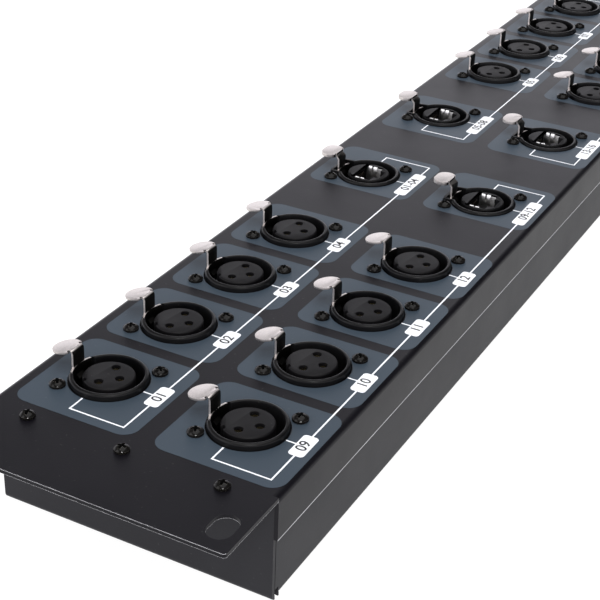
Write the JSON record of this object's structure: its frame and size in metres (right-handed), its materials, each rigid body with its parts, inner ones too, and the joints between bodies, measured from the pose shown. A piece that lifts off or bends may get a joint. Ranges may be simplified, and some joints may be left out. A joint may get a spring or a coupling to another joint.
{
  "type": "dmx splitter",
  "caption": "Wide flat 19-inch rack panel with a shallow tray behind, two rows of round latching three-pole sockets and round data sockets in the middle.",
  "frame": {"origin": "centre of the rear cover's outer face, which the unit lies on", "axes": "+X along the panel from the ear at the near end of the picture to the other ear, +Y to the panel's top edge, where the latch levers are, +Z out of the front face"},
  "size_m": [0.4826, 0.0882, 0.0409],
  "materials": {
    "panel_paint": "satin black powder coat with white print",
    "cover_paint": "satin dark grey paint",
    "screw_black": "black plated steel",
    "shell_black": "black plated die casting",
    "insert_plastic": "dark grey moulded plastic",
    "lever_nickel": "satin nickel plate",
    "contact_silver": "plated brass",
    "contact_gold": "gold plated bronze",
    "shield_tin": "bright tin plate",
    "pin_steel": "drawn steel",
    "spring_steel": "spring steel",
    "board_green": "green solder resist"
  },
  "bodies": {
    "rack_unit": {"front_panel": "panel_paint", "rear_cover": "cover_paint", "cover_screws": "screw_black", "socket_screws": "screw_black", "xlr_shell_01": "shell_black", "xlr_shell_02": "shell_black", "xlr_shell_03": "shell_black", "xlr_shell_04": "shell_black", "xlr_shell_05": "shell_black", "xlr_shell_06": "shell_black", "xlr_shell_07": "shell_black", "xlr_shell_08": "shell_black", "xlr_shell_09": "shell_black", "xlr_shell_10": "shell_black", "xlr_shell_11": "shell_black", "xlr_shell_12": "shell_black", "xlr_shell_13": "shell_black", "xlr_shell_14": "shell_black", "xlr_shell_15": "shell_black", "xlr_shell_16": "shell_black", "data_shell_a": "shell_black", "data_shell_b": "shell_black", "data_shell_c": "shell_black", "data_shell_d": "shell_black", "xlr_inserts_a": "insert_plastic", "xlr_inserts_b": "insert_plastic", "xlr_inserts_c": "insert_plastic", "xlr_inserts_d": "insert_plastic", "board_a": "board_green", "board_b": "board_green", "board_c": "board_green", "board_d": "board_green", "data_inserts": "insert_plastic", "data_shields": "shield_tin", "xlr_contacts": "contact_silver", "data_contacts": "contact_gold", "lever_pins": "pin_steel", "lever_springs": "spring_steel"},
    "xlr_latch_01": {"xlr_lever_01": "lever_nickel"},
    "xlr_latch_02": {"xlr_lever_02": "lever_nickel"},
    "xlr_latch_03": {"xlr_lever_03": "lever_nickel"},
    "xlr_latch_04": {"xlr_lever_04": "lever_nickel"},
    "xlr_latch_05": {"xlr_lever_05": "lever_nickel"},
    "xlr_latch_06": {"xlr_lever_06": "lever_nickel"},
    "xlr_latch_07": {"xlr_lever_07": "lever_nickel"},
    "xlr_latch_08": {"xlr_lever_08": "lever_nickel"},
    "xlr_latch_09": {"xlr_lever_09": "lever_nickel"},
    "xlr_latch_10": {"xlr_lever_10": "lever_nickel"},
    "xlr_latch_11": {"xlr_lever_11": "lever_nickel"},
    "xlr_latch_12": {"xlr_lever_12": "lever_nickel"},
    "xlr_latch_13": {"xlr_lever_13": "lever_nickel"},
    "xlr_latch_14": {"xlr_lever_14": "lever_nickel"},
    "xlr_latch_15": {"xlr_lever_15": "lever_nickel"},
    "xlr_latch_16": {"xlr_lever_16": "lever_nickel"},
    "data_latch_a": {"data_lever_a": "lever_nickel"},
    "data_latch_b": {"data_lever_b": "lever_nickel"},
    "data_latch_c": {"data_lever_c": "lever_nickel"},
    "data_latch_d": {"data_lever_d": "lever_nickel"}
  },
  "joints": [
    {"name": "xlr_latch_01_hinge", "type": "hinge", "parent": "rack_unit", "child": "xlr_latch_01", "pos_m": [-0.1933, 0.03295, 0.029], "axis": [-1, 0, 0], "range_deg": [0, 5], "stiffness_Nm_per_rad": 0.05, "springref_deg": -3.44},
    {"name": "xlr_latch_02_hinge", "type": "hinge", "parent": "rack_unit", "child": "xlr_latch_02", "pos_m": [-0.1581, 0.03295, 0.029], "axis": [-1, 0, 0], "range_deg": [0, 5], "stiffness_Nm_per_rad": 0.05, "springref_deg": -3.44},
    {"name": "xlr_latch_03_hinge", "type": "hinge", "parent": "rack_unit", "child": "xlr_latch_03", "pos_m": [-0.1229, 0.03295, 0.029], "axis": [-1, 0, 0], "range_deg": [0, 5], "stiffness_Nm_per_rad": 0.05, "springref_deg": -3.44},
    {"name": "xlr_latch_04_hinge", "type": "hinge", "parent": "rack_unit", "child": "xlr_latch_04", "pos_m": [-0.0877, 0.03295, 0.029], "axis": [-1, 0, 0], "range_deg": [0, 5], "stiffness_Nm_per_rad": 0.05, "springref_deg": -3.44},
    {"name": "xlr_latch_05_hinge", "type": "hinge", "parent": "rack_unit", "child": "xlr_latch_05", "pos_m": [0.0877, 0.03295, 0.029], "axis": [-1, 0, 0], "range_deg": [0, 5], "stiffness_Nm_per_rad": 0.05, "springref_deg": -3.44},
    {"name": "xlr_latch_06_hinge", "type": "hinge", "parent": "rack_unit", "child": "xlr_latch_06", "pos_m": [0.1229, 0.03295, 0.029], "axis": [-1, 0, 0], "range_deg": [0, 5], "stiffness_Nm_per_rad": 0.05, "springref_deg": -3.44},
    {"name": "xlr_latch_07_hinge", "type": "hinge", "parent": "rack_unit", "child": "xlr_latch_07", "pos_m": [0.1581, 0.03295, 0.029], "axis": [-1, 0, 0], "range_deg": [0, 5], "stiffness_Nm_per_rad": 0.05, "springref_deg": -3.44},
    {"name": "xlr_latch_08_hinge", "type": "hinge", "parent": "rack_unit", "child": "xlr_latch_08", "pos_m": [0.1933, 0.03295, 0.029], "axis": [-1, 0, 0], "range_deg": [0, 5], "stiffness_Nm_per_rad": 0.05, "springref_deg": -3.44},
    {"name": "xlr_latch_09_hinge", "type": "hinge", "parent": "rack_unit", "child": "xlr_latch_09", "pos_m": [-0.1933, -0.01125, 0.029], "axis": [-1, 0, 0], "range_deg": [0, 5], "stiffness_Nm_per_rad": 0.05, "springref_deg": -3.44},
    {"name": "xlr_latch_10_hinge", "type": "hinge", "parent": "rack_unit", "child": "xlr_latch_10", "pos_m": [-0.1581, -0.01125, 0.029], "axis": [-1, 0, 0], "range_deg": [0, 5], "stiffness_Nm_per_rad": 0.05, "springref_deg": -3.44},
    {"name": "xlr_latch_11_hinge", "type": "hinge", "parent": "rack_unit", "child": "xlr_latch_11", "pos_m": [-0.1229, -0.01125, 0.029], "axis": [-1, 0, 0], "range_deg": [0, 5], "stiffness_Nm_per_rad": 0.05, "springref_deg": -3.44},
    {"name": "xlr_latch_12_hinge", "type": "hinge", "parent": "rack_unit", "child": "xlr_latch_12", "pos_m": [-0.0877, -0.01125, 0.029], "axis": [-1, 0, 0], "range_deg": [0, 5], "stiffness_Nm_per_rad": 0.05, "springref_deg": -3.44},
    {"name": "xlr_latch_13_hinge", "type": "hinge", "parent": "rack_unit", "child": "xlr_latch_13", "pos_m": [0.0877, -0.01125, 0.029], "axis": [-1, 0, 0], "range_deg": [0, 5], "stiffness_Nm_per_rad": 0.05, "springref_deg": -3.44},
    {"name": "xlr_latch_14_hinge", "type": "hinge", "parent": "rack_unit", "child": "xlr_latch_14", "pos_m": [0.1229, -0.01125, 0.029], "axis": [-1, 0, 0], "range_deg": [0, 5], "stiffness_Nm_per_rad": 0.05, "springref_deg": -3.44},
    {"name": "xlr_latch_15_hinge", "type": "hinge", "parent": "rack_unit", "child": "xlr_latch_15", "pos_m": [0.1581, -0.01125, 0.029], "axis": [-1, 0, 0], "range_deg": [0, 5], "stiffness_Nm_per_rad": 0.05, "springref_deg": -3.44},
    {"name": "xlr_latch_16_hinge", "type": "hinge", "parent": "rack_unit", "child": "xlr_latch_16", "pos_m": [0.1933, -0.01125, 0.029], "axis": [-1, 0, 0], "range_deg": [0, 5], "stiffness_Nm_per_rad": 0.05, "springref_deg": -3.44},
    {"name": "data_latch_a_hinge", "type": "hinge", "parent": "rack_unit", "child": "data_latch_a", "pos_m": [-0.0325, 0.03355, 0.029], "axis": [-1, 0, 0], "range_deg": [0, 4], "stiffness_Nm_per_rad": 0.05, "springref_deg": -3.44},
    {"name": "data_latch_b_hinge", "type": "hinge", "parent": "rack_unit", "child": "data_latch_b", "pos_m": [0.0325, 0.03355, 0.029], "axis": [-1, 0, 0], "range_deg": [0, 4], "stiffness_Nm_per_rad": 0.05, "springref_deg": -3.44},
    {"name": "data_latch_c_hinge", "type": "hinge", "parent": "rack_unit", "child": "data_latch_c", "pos_m": [-0.0325, -0.01065, 0.029], "axis": [-1, 0, 0], "range_deg": [0, 4], "stiffness_Nm_per_rad": 0.05, "springref_deg": -3.44},
    {"name": "data_latch_d_hinge", "type": "hinge", "parent": "rack_unit", "child": "data_latch_d", "pos_m": [0.0325, -0.01065, 0.029], "axis": [-1, 0, 0], "range_deg": [0, 4], "stiffness_Nm_per_rad": 0.05, "springref_deg": -3.44}
  ]
}
